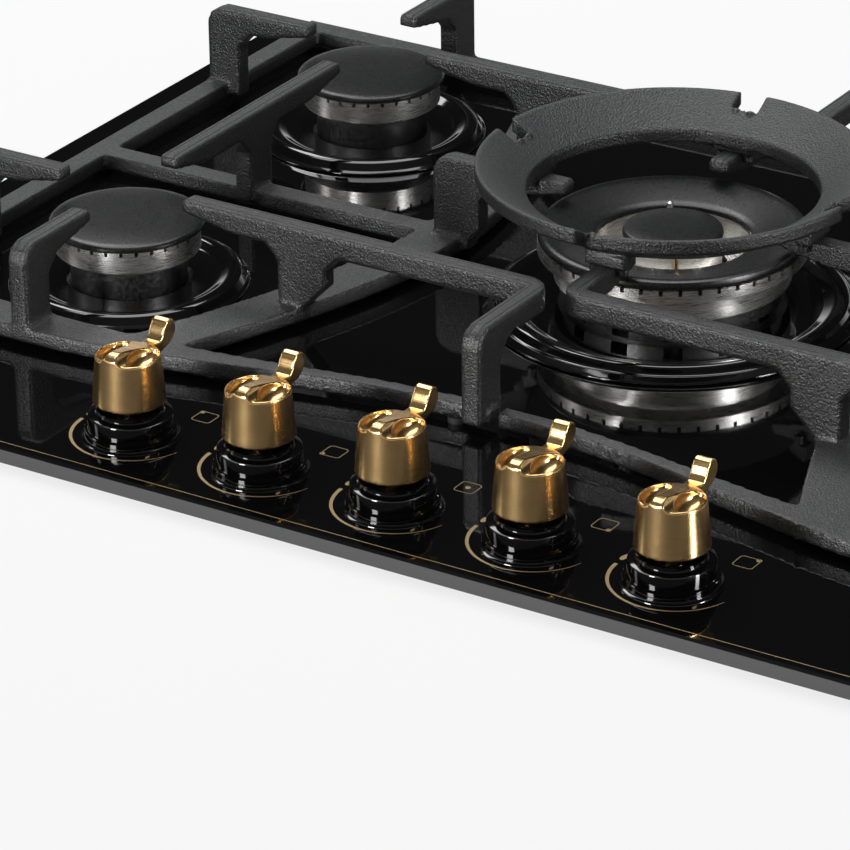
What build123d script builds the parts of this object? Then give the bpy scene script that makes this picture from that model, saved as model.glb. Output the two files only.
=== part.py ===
from build123d import *
import os
from math import cos, radians, sin

# A built-in gas cooktop with a black glass top, four side burners, a triple-ring wok burner in the middle,
# two cast-iron grates, a wok ring and five brass lever knobs. Millimetres, Z up, X to the right and Y to the
# back, with the origin on the underside of the case, below the centre of the glass.

# Glass top and what hangs below it
glass_width = 750.0
glass_depth = 515.0
glass_thickness = 8.0
glass_corner = 9.0
glass_bevel = 1.2
side_overhang = 45.0
end_overhang = 22.5
case_width = glass_width - 2 * side_overhang
case_depth = glass_depth - 2 * end_overhang
case_height = 46.0
case_corner = 8.0
case_sheet = 1.2
case_lip = 8.0
seal_width = 14.0
seal_thickness = 3.0
seal_margin = 6.0

glass_under = case_height
glass_top = glass_under + glass_thickness

# Places on the glass, measured in from its edges
knob_pitch = 72.0
knob_setback = 41.5
knob_y = knob_setback - glass_depth / 2
knob_places = [((n - 2) * knob_pitch, knob_y) for n in range(5)]
front_rail_setback = 103.5
back_rail_setback = 19.5
front_rail_y = front_rail_setback - glass_depth / 2
back_rail_y = glass_depth / 2 - back_rail_setback
front_burner_gap = 80.5
back_burner_gap = 89.5
burner_inset = 130.0
right_x = glass_width / 2 - burner_inset
left_x = -right_x
front_y = front_rail_y + front_burner_gap
back_y = back_rail_y - back_burner_gap
wok_y = (front_y + back_y) / 2

# Side burners, each with the radius of its cap, crown, neck and spill dish
semi_rapid = (38.6, 36.0, 29.0, 60.0)
rapid = (48.0, 45.0, 36.0, 69.0)
auxiliary = (29.0, 26.5, 21.0, 51.0)
side_burners = {
    "front_left": (left_x, front_y, semi_rapid),
    "back_left": (left_x, back_y, semi_rapid),
    "front_right": (right_x, front_y, auxiliary),
    "back_right": (right_x, back_y, rapid),
}
cup_depth = 22.0
flange_overlap = 4.0
flange_thickness = 2.0
pin_offset = 13.0
dish_sheet = 1.2
dish_rise = 6.4
neck_top = 17.0
crown_top = 31.0
cap_rise = 4.6
wall = 5.0
running_gap = 0.05
fit_gap = 0.5
tube_radius = 3.0
tube_height = glass_top - 16.0
pin_heading = 122.0
pin_angle = 25.0

# Wok burner
wok_cap_radius = 65.4
wok_rim_radius = 66.0
wok_body_radius = 58.0
wok_cup_radius = 56.0
wok_collar_radius = 55.0
wok_foot_radius = 51.0
wok_dish_radius = 93.0
wok_hole_radius = wok_dish_radius - 27.0
inner_crown_radius = 24.0
wok_pin_radius = 34.5
wok_pin_angle = -58.0

# Grates
grate_height = 53.0
foot_height = 3.0
frame_height = 8.0
frame_bar = 13.0
side_bar = 25.0
front_bar = 22.0
bow_bar = 8.0
bow_depth = 28.5
finger_width = 10.0
finger_reach = 36.0
wok_reach = 58.0
finger_depth = 12.0
tip_depth = 6.0
tip_taper = 30.0
leg_depth = 20.0
web_length = 27.0
web_undercut = 13.0
grate_inset = 35.0
grate_outer_x = glass_width / 2 - grate_inset
grate_inner_x = 8.0
burner_to_web = 105.0
web_x = right_x - burner_to_web
wok_tip_to_web = 63.0
wok_web_x = wok_reach + wok_tip_to_web
front_bow_y = front_rail_y + bow_depth

frame_bottom = glass_top + foot_height
frame_top = frame_bottom + frame_height
finger_top = glass_top + grate_height

# Wok ring
ring_inner_radius = 71.0
ring_outer_radius = 96.0
ring_lug = 3.0
ring_rise = 16.0
ring_thickness = 7.0
ring_notch = 14.0

# Knobs and gas valves
drum_base_radius = 17.2
drum_rim_radius = 15.3
drum_base = 18.4
drum_rim = 41.2
lever_width = 5.6
lever_flare = 4.8
lever_tip_width = 8.4
bezel_radius = 18.9
bezel_height = 11.9
press_travel = 3.0
spindle_radius = 3.0
spindle_flat = 2.2
plug_radius = 7.0
valve_width = 24.0
valve_bottom = 22.0
valve_top = 42.0
manifold_depth = 16.0
manifold_left_reach = 21.0
manifold_right_reach = 56.0
manifold_left_x = knob_places[0][0] - manifold_left_reach
manifold_right_x = knob_places[-1][0] + manifold_right_reach
supply_z = 14.0
supply_radius = 6.5
inlet_radius = 10.4
inlet_collar = 12.0
inlet_plate = (28.0, 26.0, 4.0)
supply_x = case_width / 2 - case_corner - inlet_plate[0] / 2


def half_section(points, x, y, z):
    """The face in the upright plane through (x, y) whose corners are the given (radius, height) pairs."""
    plane = Plane(origin=(x, y, z), x_dir=(1, 0, 0), z_dir=(0, -1, 0))
    with BuildSketch(plane) as section:
        with BuildLine():
            Polyline(*points, close=True)
        make_face()
    return section.sketch


def upright(x, y):
    """The vertical axis through (x, y)."""
    return Axis((x, y, 0), (0, 0, 1))


def save(piece, name):
    """Labels a finished piece and writes it to its own STEP file."""
    piece.label = name
    export_step(piece, f"parts/{name}.step")


def burner_hole(burner):
    """The radius of the hole in the glass for a side burner."""
    return burner[2] + pin_offset + flange_overlap


os.makedirs("parts", exist_ok=True)

# Glass panel: black toughened glass with a bevelled edge, a hole for each burner and each knob spindle
spindle_hole = 8.0
with BuildPart() as glass_panel:
    with BuildSketch(Plane.XY.offset(glass_under)):
        RectangleRounded(glass_width, glass_depth, glass_corner)
        with Locations(*knob_places):
            Circle(spindle_hole, mode=Mode.SUBTRACT)
        with Locations((0, wok_y)):
            Circle(wok_hole_radius, mode=Mode.SUBTRACT)
        for x, y, burner in side_burners.values():
            with Locations((x, y)):
                Circle(burner_hole(burner), mode=Mode.SUBTRACT)
    extrude(amount=glass_thickness)
    top_face = glass_panel.faces().sort_by(Axis.Z)[-1]
    chamfer(top_face.outer_wire().edges(), length=glass_bevel)
save(glass_panel.part, "glass_panel")

# Worktop seal: a foam strip under the overhang of the glass
with BuildPart() as worktop_seal:
    with BuildSketch(Plane.XY.offset(glass_under - seal_thickness)):
        Rectangle(glass_width - 2 * seal_margin, glass_depth - 2 * seal_margin)
        Rectangle(
            glass_width - 2 * (seal_margin + seal_width),
            glass_depth - 2 * (seal_margin + seal_width),
            mode=Mode.SUBTRACT,
        )
    extrude(amount=seal_thickness)
save(worktop_seal.part, "worktop_seal")

# Bottom case: a folded steel tray whose top lip is bonded to the underside of the glass
clamp_inset_x = 38.0
clamp_inset_y = 35.0
clamp_pitch_x = case_width - 2 * clamp_inset_x
clamp_pitch_y = case_depth - 2 * clamp_inset_y
clamp_hole = 2.1
gland_inset = 105.0
gland_x = case_width / 2 - gland_inset
gland_z = case_height / 2
gland_hole = 7.0
vent_length = 30.0
vent_width = 3.0
vent_pitch = 12.0
vent_rows = 8
bay_x = right_x / 2 + 7.5
vent_y = wok_y + 22.5
with BuildPart() as bottom_case:
    with BuildSketch():
        RectangleRounded(case_width, case_depth, case_corner)
    extrude(amount=case_height)
    with BuildSketch(Plane.XY.offset(case_sheet)):
        RectangleRounded(case_width - 2 * case_sheet, case_depth - 2 * case_sheet, case_corner - case_sheet)
    extrude(amount=case_height - 2 * case_sheet, mode=Mode.SUBTRACT)
    with BuildSketch(Plane.XY.offset(case_height - case_sheet)):
        Rectangle(case_width - 2 * case_lip, case_depth - 2 * case_lip)
    extrude(amount=case_sheet, mode=Mode.SUBTRACT)
    with BuildSketch():
        with GridLocations(clamp_pitch_x, clamp_pitch_y, 2, 2):
            Circle(clamp_hole)
        with Locations((-bay_x, vent_y), (bay_x, vent_y)):
            with GridLocations(0, vent_pitch, 1, vent_rows):
                SlotOverall(vent_length, vent_width)
    extrude(amount=case_sheet, mode=Mode.SUBTRACT)
    with BuildSketch(Plane.XZ.offset(-case_depth / 2)):
        with Locations((supply_x, supply_z)):
            Circle(inlet_collar + running_gap)
        with Locations((gland_x, gland_z)):
            Circle(gland_hole)
    extrude(amount=case_sheet, mode=Mode.SUBTRACT)
save(bottom_case.part, "bottom_case")

# Burner rails: inverted steel channels on the case floor that carry the burner cups
rail_top = glass_top - cup_depth
rail_sheet = 1.5
rail_foot = 9.0
side_rail = 60.0
centre_rail = 92.0
centre_reach = 82.5
front_rail_reach = 61.5
back_rail_reach = 56.5
side_front_y = front_y - front_rail_reach
side_back_y = back_y + back_rail_reach
rails = {
    "left_burner_rail": (left_x, side_rail, side_front_y, side_back_y),
    "centre_burner_rail": (0.0, centre_rail, wok_y - centre_reach, wok_y + centre_reach),
    "right_burner_rail": (right_x, side_rail, side_front_y, side_back_y),
}
screw_inset = 20.0
pin_clearance = 4.0
screw_radius = 2.0
screw_head_radius = 3.6
screw_head = 2.4
screw_places = []
for name, (x, width, y_front, y_back) in rails.items():
    length = y_back - y_front
    y_middle = (y_front + y_back) / 2
    foot_pitch = width + rail_foot
    screw_pitch = length - 2 * screw_inset
    with BuildPart() as rail:
        with BuildSketch(Plane.XY.offset(case_sheet)):
            with Locations((x, y_middle)):
                Rectangle(width + 2 * rail_foot, length)
        extrude(amount=rail_sheet)
        with BuildSketch(Plane.XY.offset(case_sheet)):
            with Locations((x, y_middle)):
                Rectangle(width, length)
        extrude(amount=rail_top - case_sheet)
        with BuildSketch(Plane.XY.offset(case_sheet)):
            with Locations((x, y_middle)):
                Rectangle(width - 2 * rail_sheet, length)
        extrude(amount=rail_top - rail_sheet - case_sheet, mode=Mode.SUBTRACT)
        with BuildSketch(Plane.XY.offset(case_sheet)):
            with Locations((x, y_middle)):
                with GridLocations(foot_pitch, screw_pitch, 2, 2):
                    Circle(screw_radius)
        extrude(amount=rail_sheet, mode=Mode.SUBTRACT)
        if x == 0:
            with BuildSketch(Plane.XY.offset(rail_top - rail_sheet)):
                with Locations((0, wok_y)):
                    with PolarLocations(wok_pin_radius, 2, start_angle=wok_pin_angle):
                        Circle(pin_clearance)
            extrude(amount=rail_sheet, mode=Mode.SUBTRACT)
    save(rail.part, name)
    for side in (-1, 1):
        for end in (-1, 1):
            screw_places.append((x + side * foot_pitch / 2, y_middle + end * screw_pitch / 2))

# Rail screws: pan heads that hold the rails to the case floor
with BuildPart() as rail_screws:
    with BuildSketch(Plane.XY.offset(case_sheet)):
        with Locations(*screw_places):
            Circle(screw_radius - running_gap)
    extrude(amount=rail_sheet)
    with BuildSketch(Plane.XY.offset(case_sheet + rail_sheet)):
        with Locations(*screw_places):
            Circle(screw_head_radius)
    extrude(amount=screw_head)
save(rail_screws.part, "rail_screws")

# Side burners: cup, spill dish, crown and cap, stacked on the glass
pin_hole = 2.5
inlet_angles = {"front_left": 0, "back_left": 180, "front_right": 180, "back_right": 0}
pin_places = []
sensor_places = []
injector_places = []
port_count = 30
port_width = 1.6
port_depth = 2.6
injector_radius = 3.5
injector_bore = 0.5
injector_hex = 5.0
injector_head = 3.0
for name, (x, y, burner) in side_burners.items():
    cap_radius, crown_radius, neck_radius, dish_radius = burner
    body_radius = neck_radius + pin_offset - flange_overlap
    pin_ring = neck_radius + pin_offset
    flange_radius = burner_hole(burner) + flange_overlap
    bore = neck_radius - 7
    pin_spots = []
    for sign in (-1, 1):
        angle = radians(pin_heading + sign * pin_angle)
        pin_spots.append((x + pin_ring * cos(angle), y + pin_ring * sin(angle)))
    pin_places.append(pin_spots[1])
    sensor_places.append(pin_spots[0])
    injector_places.append((x, y))

    cup_profile = [
        (0, -cup_depth),
        (body_radius, -cup_depth),
        (body_radius, 0),
        (flange_radius, 0),
        (flange_radius, flange_thickness),
        (neck_radius, flange_thickness),
        (neck_radius, neck_top),
        (bore, neck_top),
        (bore, wall - cup_depth),
        (0, wall - cup_depth),
    ]
    with BuildPart() as cup:
        revolve(half_section(cup_profile, x, y, glass_top), axis=upright(x, y))
        with BuildSketch(Plane.XY.offset(glass_top)):
            with Locations(*pin_spots):
                Circle(pin_hole)
        extrude(amount=flange_thickness, mode=Mode.SUBTRACT)
        with BuildSketch(Plane.XY.offset(glass_top - cup_depth)):
            with Locations((x, y)):
                Circle(injector_radius)
        extrude(amount=wall, mode=Mode.SUBTRACT)
        entry = Plane(origin=(x, y, tube_height), z_dir=(cos(radians(inlet_angles[name])), 0, 0))
        with BuildSketch(entry.offset(bore - 2)):
            Circle(tube_radius + running_gap)
        extrude(amount=body_radius - bore + 4, mode=Mode.SUBTRACT)
    save(cup.part, f"{name}_burner_cup")

    rise_radius = dish_radius - 9
    dish_profile = [
        (neck_radius + 1, flange_thickness),
        (rise_radius - 3, flange_thickness),
        (rise_radius, dish_rise - dish_sheet),
        (rise_radius + 3, dish_rise - dish_sheet - 0.4),
        (dish_radius - 3, 0),
        (dish_radius, 0),
        (dish_radius, dish_sheet),
        (dish_radius - 1.6, 2),
        (rise_radius + 3.4, dish_rise - 0.4),
        (rise_radius, dish_rise),
        (rise_radius - 3, flange_thickness + dish_sheet),
        (neck_radius + 1, flange_thickness + dish_sheet),
    ]
    with BuildPart() as dish:
        revolve(half_section(dish_profile, x, y, glass_top), axis=upright(x, y))
        with BuildSketch(Plane.XY.offset(glass_top)):
            with Locations(*pin_spots):
                Circle(pin_hole + 1)
        extrude(amount=dish_rise, mode=Mode.SUBTRACT)
    save(dish.part, f"{name}_spill_dish")

    crown_profile = [
        (bore - 4, neck_top - 7),
        (bore - fit_gap, neck_top - 7),
        (bore - fit_gap, neck_top),
        (neck_radius + 3, neck_top),
        (crown_radius, neck_top + 2.5),
        (crown_radius, crown_top),
        (crown_radius - wall, crown_top),
        (crown_radius - wall, neck_top + 4),
        (bore - 4, neck_top + 4),
    ]
    with BuildPart() as crown:
        revolve(half_section(crown_profile, x, y, glass_top), axis=upright(x, y))
        with BuildSketch(Plane.XY.offset(glass_top + crown_top - port_depth)):
            with Locations((x, y)):
                with PolarLocations(crown_radius - wall / 2, port_count):
                    Rectangle(wall + 2, port_width)
        extrude(amount=port_depth, mode=Mode.SUBTRACT)
    save(crown.part, f"{name}_burner_crown")

    lug_radius = crown_radius - wall - fit_gap
    cap_profile = [
        (0, 0),
        (lug_radius - 3, 0),
        (lug_radius - 3, -3),
        (lug_radius, -3),
        (lug_radius, 0),
        (cap_radius - 0.6, 0),
        (cap_radius, 0.6),
        (cap_radius, cap_rise - 2.4),
        (cap_radius - 1.4, cap_rise - 1.2),
        (cap_radius - 6, cap_rise - 0.6),
        (cap_radius / 2, cap_rise - 0.2),
        (0, cap_rise),
    ]
    with BuildPart() as cap:
        revolve(half_section(cap_profile, x, y, glass_top + crown_top), axis=upright(x, y))
    save(cap.part, f"{name}_burner_cap")

# Wok burner cup: the casting below the three flame rings, with air windows round its foot
wok_windows = 12
window_width = 9.0
window_height = 4.6
cup_profile = [
    (0, -cup_depth),
    (wok_cup_radius, -cup_depth),
    (wok_cup_radius, 0),
    (wok_hole_radius + 8, 0),
    (wok_hole_radius + 8, flange_thickness),
    (wok_foot_radius, flange_thickness),
    (wok_foot_radius, 9),
    (wok_collar_radius, 9.5),
    (wok_collar_radius, neck_top),
    (44, neck_top),
    (44, -6),
    (30, -6),
    (30, 14),
    (18, 14),
    (18, wall - cup_depth),
    (0, wall - cup_depth),
]
with BuildPart() as wok_cup:
    revolve(half_section(cup_profile, 0, wok_y, glass_top), axis=upright(0, wok_y))
    with BuildSketch(Plane.XY.offset(glass_top + 3.4)):
        with Locations((0, wok_y)):
            with PolarLocations(wok_foot_radius - 3.5, wok_windows):
                Rectangle(12, window_width)
    extrude(amount=window_height, mode=Mode.SUBTRACT)
    with BuildSketch(Plane.XY.offset(glass_top - cup_depth)):
        with Locations((0, wok_y)):
            with PolarLocations(wok_pin_radius, 2, start_angle=wok_pin_angle):
                Circle(pin_hole)
            Circle(injector_radius)
    extrude(amount=cup_depth, mode=Mode.SUBTRACT)
    with BuildSketch(Plane.XZ.offset(-wok_y + 16)):
        with Locations((0, tube_height)):
            Circle(tube_radius + running_gap)
    extrude(amount=wok_cup_radius - 12, mode=Mode.SUBTRACT)
save(wok_cup.part, "wok_burner_cup")

# Wok spill dish: glossy enamelled pressing on the glass
dish_profile = [
    (wok_collar_radius + 1, flange_thickness),
    (wok_hole_radius + 8, flange_thickness),
    (wok_dish_radius - 14, 5.6),
    (wok_dish_radius - 8.6, 5.2),
    (wok_dish_radius - 3, 0),
    (wok_dish_radius, 0),
    (wok_dish_radius, dish_sheet),
    (wok_dish_radius - 1.8, 2),
    (wok_dish_radius - 7.6, 6.4),
    (wok_dish_radius - 10, 7),
    (wok_dish_radius - 14.4, 6.8),
    (wok_hole_radius + 7, flange_thickness + dish_sheet),
    (wok_collar_radius + 1, flange_thickness + dish_sheet),
]
with BuildPart() as wok_dish:
    revolve(half_section(dish_profile, 0, wok_y, glass_top), axis=upright(0, wok_y))
save(wok_dish.part, "wok_burner_spill_dish")

# Wok outer crown: the large flame ring, with a web that closes the channel round the middle ring
outer_profile = [
    (27, 20),
    (38, 22),
    (38, neck_top),
    (57.4, neck_top),
    (wok_body_radius, neck_top + 0.6),
    (wok_body_radius, 29),
    (wok_rim_radius, 31),
    (wok_rim_radius, 37),
    (62.5, 37),
    (62.5, 33.5),
    (55, 31.5),
    (55, 20),
    (41, 20),
    (41, 34),
    (38, 34),
    (38, 24),
    (27, 22),
]
wok_ports = 44
with BuildPart() as wok_outer_crown:
    revolve(half_section(outer_profile, 0, wok_y, glass_top), axis=upright(0, wok_y))
    with BuildSketch(Plane.XY.offset(glass_top + 37 - port_depth)):
        with Locations((0, wok_y)):
            with PolarLocations(wok_rim_radius - 1.5, wok_ports):
                Rectangle(6, port_width + 0.3)
    extrude(amount=port_depth, mode=Mode.SUBTRACT)
    with BuildSketch(Plane.XY.offset(glass_top + neck_top)):
        with Locations((0, wok_y)):
            with PolarLocations(wok_pin_radius, 2, start_angle=wok_pin_angle):
                Circle(pin_hole + fit_gap)
    extrude(amount=10, mode=Mode.SUBTRACT)
save(wok_outer_crown.part, "wok_outer_crown")

# Wok outer cap: dished enamelled ring over the large flame ring
outer_cap_profile = [
    (38.2, 34),
    (41.6, 34),
    (61, 37),
    (wok_cap_radius, 37),
    (wok_cap_radius + 0.3, 37.8),
    (wok_cap_radius + 0.3, 40),
    (wok_cap_radius - 1.4, 41.6),
    (60, 41.2),
    (42, 37.6),
    (38.2, 36.2),
]
with BuildPart() as wok_outer_cap:
    revolve(half_section(outer_cap_profile, 0, wok_y, glass_top), axis=upright(0, wok_y))
save(wok_outer_cap.part, "wok_outer_cap")

# Wok inner crown and cap: the small flame ring in the middle
inner_profile = [
    (14, 9),
    (17.8, 9),
    (17.8, 14),
    (26, 14),
    (inner_crown_radius, 18),
    (inner_crown_radius, 38),
    (inner_crown_radius - 4, 38),
    (inner_crown_radius - 4, 20),
    (14, 20),
]
inner_ports = 18
with BuildPart() as wok_inner_crown:
    revolve(half_section(inner_profile, 0, wok_y, glass_top), axis=upright(0, wok_y))
    with BuildSketch(Plane.XY.offset(glass_top + 38 - port_depth)):
        with Locations((0, wok_y)):
            with PolarLocations(inner_crown_radius - 2, inner_ports):
                Rectangle(6, port_width)
    extrude(amount=port_depth, mode=Mode.SUBTRACT)
save(wok_inner_crown.part, "wok_inner_crown")

inner_cap_profile = [
    (0, 38),
    (16.6, 38),
    (16.6, 35.4),
    (19.6, 35.4),
    (19.6, 38),
    (24.0, 38),
    (24.6, 38.6),
    (24.6, 40.6),
    (23.4, 41.8),
    (0, 42.4),
]
with BuildPart() as wok_inner_cap:
    revolve(half_section(inner_cap_profile, 0, wok_y, glass_top), axis=upright(0, wok_y))
save(wok_inner_cap.part, "wok_inner_cap")

# Spark electrodes, flame sensors and injectors, one for each burner
pin_radius = 2.4
pin_bottom = 2.0 - cup_depth
wok_pin_bottom = pin_bottom - 4.0
wok_pin_rise = 14.5
spark_collar = 19.0
spark_tip = 27.0
sensor_collar = 14.0
sensor_tip = 26.0
wok_angle = radians(wok_pin_angle)
wok_pin = (wok_pin_radius * cos(wok_angle), wok_y + wok_pin_radius * sin(wok_angle))
wok_sensor = (-wok_pin[0], 2 * wok_y - wok_pin[1])


def pin_profile(bottom, collar, tip, tip_radius):
    """Half section of a round pin: a thick stem up to its collar, then a thinner tip."""
    shoulder = pin_radius - tip_radius
    return [
        (0, bottom),
        (pin_radius, bottom),
        (pin_radius, collar),
        (tip_radius, collar + shoulder),
        (tip_radius, tip - tip_radius / 2),
        (0, tip),
    ]


spark_tip_radius = 1.0
sensor_tip_radius = 1.6
spark_pin = pin_profile(pin_bottom, spark_collar, spark_tip, spark_tip_radius)
sensor_pin = pin_profile(pin_bottom, sensor_collar, sensor_tip, sensor_tip_radius)
wok_spark_pin = pin_profile(
    wok_pin_bottom, spark_collar + wok_pin_rise, spark_tip + wok_pin_rise, spark_tip_radius
)
wok_sensor_pin = pin_profile(
    wok_pin_bottom, sensor_collar + wok_pin_rise + 3, sensor_tip + wok_pin_rise, sensor_tip_radius
)
with BuildPart() as spark_electrodes:
    for x, y in pin_places:
        revolve(half_section(spark_pin, x, y, glass_top), axis=upright(x, y))
    revolve(half_section(wok_spark_pin, *wok_pin, glass_top), axis=upright(*wok_pin))
save(spark_electrodes.part, "spark_electrodes")
with BuildPart() as flame_sensors:
    for x, y in sensor_places:
        revolve(half_section(sensor_pin, x, y, glass_top), axis=upright(x, y))
    revolve(half_section(wok_sensor_pin, *wok_sensor, glass_top), axis=upright(*wok_sensor))
save(flame_sensors.part, "flame_sensors")
with BuildPart() as injectors:
    with BuildSketch(Plane.XY.offset(rail_top)):
        with Locations(*injector_places, (0, wok_y)):
            Circle(injector_radius - running_gap)
            Circle(injector_bore, mode=Mode.SUBTRACT)
    extrude(amount=wall)
    with BuildSketch(Plane.XY.offset(rail_top + wall)):
        with Locations(*injector_places, (0, wok_y)):
            RegularPolygon(injector_hex, 6)
            Circle(injector_bore, mode=Mode.SUBTRACT)
    extrude(amount=injector_head)
save(injectors.part, "injectors")


# Grates: each is one casting, a low frame on rubber feet with raised fingers over the burners
haunch = 8.0


def raised_bar(along_x, place, tip, end):
    """Side view of a raised bar that runs from a thin tip to a rounded end."""
    out = 1 if end > tip else -1
    taper = min(tip_taper, 0.6 * abs(end - tip))
    points = [
        (tip, finger_top - 1.5),
        (tip + out * 1.5, finger_top),
        (end - out * 8, finger_top),
        (end - out * 2.5, finger_top - 2.5),
        (end, finger_top - 8),
        (end, finger_top - finger_depth),
        (tip + out * taper, finger_top - finger_depth),
        (tip, finger_top - tip_depth),
    ]
    return side_view(along_x, place, points)


def foot_plate(along_x, place, near, far, haunches, near_cut, far_cut):
    """Side view of the plate that carries a raised bar, widened under the bar on one or both sides.
    Each side of its foot can be cut back, where the plate overhangs the frame."""
    out = 1 if far > near else -1
    under = finger_top - finger_depth
    foot = frame_bottom + 2
    points = [(near + out * near_cut, foot)]
    if near_cut:
        points += [(near + out * near_cut, frame_top), (near, frame_top + near_cut)]
    points += [(near, under - haunch), (near - out * haunch, under + 1)]
    if haunches == 2:
        points += [(far + out * haunch, under + 1), (far, under - haunch)]
    else:
        points.append((far, under + 1))
    if far_cut:
        points += [(far, frame_top + far_cut), (far - out * far_cut, frame_top)]
    points.append((far - out * far_cut, foot))
    return side_view(along_x, place, points)


def side_view(along_x, place, points):
    """A closed outline in the upright plane along X (or along Y) at the given place."""
    if along_x:
        plane = Plane(origin=(0, place, 0), x_dir=(1, 0, 0), z_dir=(0, -1, 0))
    else:
        plane = Plane(origin=(place, 0, 0), x_dir=(0, 1, 0), z_dir=(1, 0, 0))
    with BuildSketch(plane) as outline:
        with BuildLine():
            Polyline(*points, close=True)
        make_face()
    return outline.sketch


def finger(along_x, place, tip, near, far, end, haunches, near_cut=0, far_cut=0):
    """A finger in the grate that is being built: its raised bar and the plate below it."""
    bar = raised_bar(along_x, place, tip, end)
    plate = foot_plate(along_x, place, near, far, haunches, near_cut, far_cut)
    return [bar, plate]


def bow_edge(side, edge):
    """The front (-1) or back (1) edge of the front rail, from the burner to the middle of the cooktop."""
    stations = [
        (side * share * right_x, front_rail_y + depth * bow_depth + edge * width * front_bar)
        for share, depth, width in bow_stations
    ]
    return stations + [(side * slit, front_bow_y + edge * bow_bar / 2)]


foot_radius = 4.5
foot_peg = 2.5
foot_peg_height = 3.0
half_finger = finger_width / 2
half_frame = frame_bar / 2
elbow_radius = 8.0
elbow_run = 26.0
slit = 1.5
back_foot_x = 60.0
front_foot_x = 22.0
side_bar_x = wok_web_x + 10.0
side_bar_bulge = 10.0
side_bar_flare = 45.0
side_bar_lean = 9.5
cross_grip = 10.0
front_leg_y = front_rail_y - front_bar / 2
bow_leg_y = front_bow_y - 11.5
back_leg_y = back_rail_y + half_frame
# Stations of the front rail: share of the burner's X, of the bow's depth and of the rail's width
bow_stations = ((1.0, 0.0, 0.5), (0.71, 0.15, 0.35), (0.41, 0.63, 0.2))
for name, side in (("left", -1), ("right", 1)):
    outer_x = side * grate_outer_x
    inner_x = side * grate_inner_x
    burner_x = side * right_x
    outer_edge = outer_x + side * (half_frame - 1)
    foot_spots = [
        (outer_x, front_rail_y),
        (outer_x, wok_y),
        (outer_x, back_rail_y),
        (side * back_foot_x, back_rail_y),
        (side * front_foot_x, front_bow_y - 0.5),
        (side * side_bar_x, wok_y),
    ]
    sections = []
    for y, bend, leg_far in ((front_y, -1, front_leg_y), (back_y, 1, back_leg_y)):
        leg_near = leg_far - bend * leg_depth
        inner_tip = burner_x - side * finger_reach
        outer_tip = burner_x + side * finger_reach
        web_near = side * (web_x + web_length / 2)
        web_far = side * (web_x - web_length / 2)
        long_end = inner_x + side * 14
        sections += finger(True, y, inner_tip, web_near, web_far, long_end, 2, far_cut=web_undercut)
        sections += finger(True, y, outer_tip, outer_edge - side * leg_depth, outer_edge, outer_edge, 1)
        sections += finger(False, burner_x, y + bend * finger_reach, leg_near, leg_far, leg_far, 1)
        if side == bend:
            end_far = bow_leg_y if bend < 0 else back_leg_y
            start = y + bend * elbow_radius
            sections += finger(False, inner_x, start, end_far - bend * leg_depth, end_far, end_far, 1)
        else:
            sections.append(raised_bar(False, inner_x, wok_y + bend * wok_reach, y - bend * elbow_radius))
    wok_far = side * (wok_web_x + web_length / 2)
    wok_near = side * (wok_web_x - web_length / 2)
    wok_tip = side * wok_reach
    sections += finger(True, wok_y, wok_tip, wok_near, wok_far, wok_far, 1, near_cut=web_undercut / 2)
    cross_near = wok_y - leg_depth / 2
    cross_far = wok_y + leg_depth / 2
    cross_end = cross_far + cross_grip
    sections += finger(False, burner_x, front_y + finger_reach, cross_near, cross_far, cross_end, 2)
    sections.append(raised_bar(False, burner_x, back_y - finger_reach, cross_near - cross_grip))

    with BuildPart() as grate:
        with BuildSketch(Plane.XY.offset(frame_bottom)):
            front_edge = bow_edge(side, -1)
            back_edge = bow_edge(side, 1)
            inward = (-side, 0)
            with BuildLine():
                Line((outer_edge, front_leg_y), front_edge[0])
                Spline(*front_edge, tangents=[inward, inward])
                Line(front_edge[-1], back_edge[-1])
                Spline(*back_edge, tangents=[inward, inward])
                Polyline(back_edge[0], (outer_edge, back_edge[0][1]), (outer_edge, front_leg_y))
            make_face()
            with BuildLine():
                Polyline((outer_x, front_rail_y), (outer_x, back_rail_y), (side * slit, back_rail_y))
            trace(line_width=frame_bar)
            with BuildLine():
                Spline(
                    (side * (web_x + side_bar_flare), front_rail_y),
                    (side * (web_x + side_bar_bulge), front_y + side_bar_lean),
                    (side * side_bar_x, wok_y),
                    (side * (web_x + side_bar_bulge), back_y - side_bar_lean),
                    (side * (web_x + side_bar_flare), back_rail_y),
                )
            trace(line_width=side_bar)
            with BuildLine():
                Line((outer_x, wok_y), (side * side_bar_x, wok_y))
            trace(line_width=frame_bar)
        extrude(amount=frame_height)
        for section in sections:
            extrude(section, amount=half_finger, both=True)
        with BuildSketch(Plane.XY.offset(finger_top - finger_depth)):
            for y, bend in ((front_y, -1), (back_y, 1)):
                heading = bend if side == bend else -bend
                with BuildLine():
                    FilletPolyline(
                        (inner_x + side * elbow_run, y),
                        (inner_x, y),
                        (inner_x, y + heading * elbow_run),
                        radius=elbow_radius,
                    )
                trace(line_width=finger_width)
        extrude(amount=finger_depth)
        with BuildSketch(Plane.XY.offset(frame_bottom)):
            with Locations(*foot_spots):
                Circle(foot_peg)
        extrude(amount=foot_peg_height, mode=Mode.SUBTRACT)
    save(grate.part, f"{name}_grate")

    with BuildPart() as feet:
        with BuildSketch(Plane.XY.offset(glass_top)):
            with Locations(*foot_spots):
                Circle(foot_radius)
        extrude(amount=foot_height)
        with BuildSketch(Plane.XY.offset(frame_bottom)):
            with Locations(*foot_spots):
                Circle(foot_peg)
        extrude(amount=foot_peg_height)
    save(feet.part, f"{name}_grate_feet")

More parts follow.
